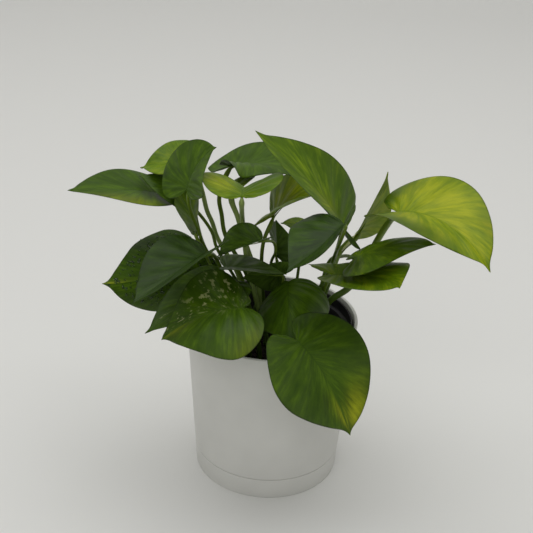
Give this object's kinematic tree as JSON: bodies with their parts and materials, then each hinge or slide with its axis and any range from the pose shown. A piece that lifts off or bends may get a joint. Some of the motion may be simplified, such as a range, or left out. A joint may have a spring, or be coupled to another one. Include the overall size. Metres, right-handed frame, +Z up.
{
  "type": "potted pothos plant",
  "caption": "Bushy young pothos with glossy heart-shaped leaves on arching stalks, in a black nursery pot standing inside a tapered white planter with a flush saucer.",
  "frame": {"origin": "centre of the flat underside of the saucer, where the plant stands on a table", "axes": "+Z up along the planter's axis, -Y the front, +X to the right seen from the front"},
  "size_m": [0.2964, 0.1863, 0.2795],
  "materials": {
    "white_plastic": "satin white injection-moulded plastic",
    "black_plastic": "thin black vacuum-formed nursery plastic",
    "potting_mix": null,
    "green_leaf": null,
    "lime_leaf": null,
    "leaf_stalk": null
  },
  "bodies": {
    "root": {"saucer": "white_plastic", "planter": "white_plastic", "nursery_pot": "black_plastic", "soil": "potting_mix", "leaf_front_right": "green_leaf", "stalk_front_right": "leaf_stalk", "leaf_front_left": "green_leaf", "stalk_front_left": "leaf_stalk", "leaf_front_centre": "green_leaf", "stalk_front_centre": "leaf_stalk", "leaf_left_under": "green_leaf", "stalk_left_under": "leaf_stalk", "leaf_left_upper": "green_leaf", "stalk_left_upper": "leaf_stalk", "leaf_left_wet": "green_leaf", "stalk_left_wet": "leaf_stalk", "leaf_far_left": "green_leaf", "stalk_far_left": "leaf_stalk", "leaf_upper_left_dark": "green_leaf", "stalk_upper_left_dark": "leaf_stalk", "leaf_upper_left_lime": "lime_leaf", "stalk_upper_left_lime": "leaf_stalk", "leaf_upper_left_tall": "green_leaf", "stalk_upper_left_tall": "leaf_stalk", "leaf_upper_left_narrow": "green_leaf", "stalk_upper_left_narrow": "leaf_stalk", "leaf_top_boat": "lime_leaf", "stalk_top_boat": "leaf_stalk", "leaf_top_small_lime": "lime_leaf", "stalk_top_small_lime": "leaf_stalk", "leaf_top_centre": "green_leaf", "stalk_top_centre": "leaf_stalk", "leaf_top_large": "green_leaf", "stalk_top_large": "leaf_stalk", "leaf_centre_back": "lime_leaf", "stalk_centre_back": "leaf_stalk", "leaf_centre_right": "green_leaf", "stalk_centre_right": "leaf_stalk", "leaf_centre_small": "green_leaf", "stalk_centre_small": "leaf_stalk", "leaf_centre_olive": "green_leaf", "stalk_centre_olive": "leaf_stalk", "leaf_centre_lime": "lime_leaf", "stalk_centre_lime": "leaf_stalk", "leaf_centre_flat": "green_leaf", "stalk_centre_flat": "leaf_stalk", "leaf_centre_shaded": "green_leaf", "stalk_centre_shaded": "leaf_stalk", "leaf_right_upright": "lime_leaf", "stalk_right_upright": "leaf_stalk", "leaf_right_yellow": "lime_leaf", "stalk_right_yellow": "leaf_stalk", "leaf_right_level": "green_leaf", "stalk_right_level": "leaf_stalk", "leaf_right_low": "green_leaf", "stalk_right_low": "leaf_stalk"}
  },
  "joints": []
}
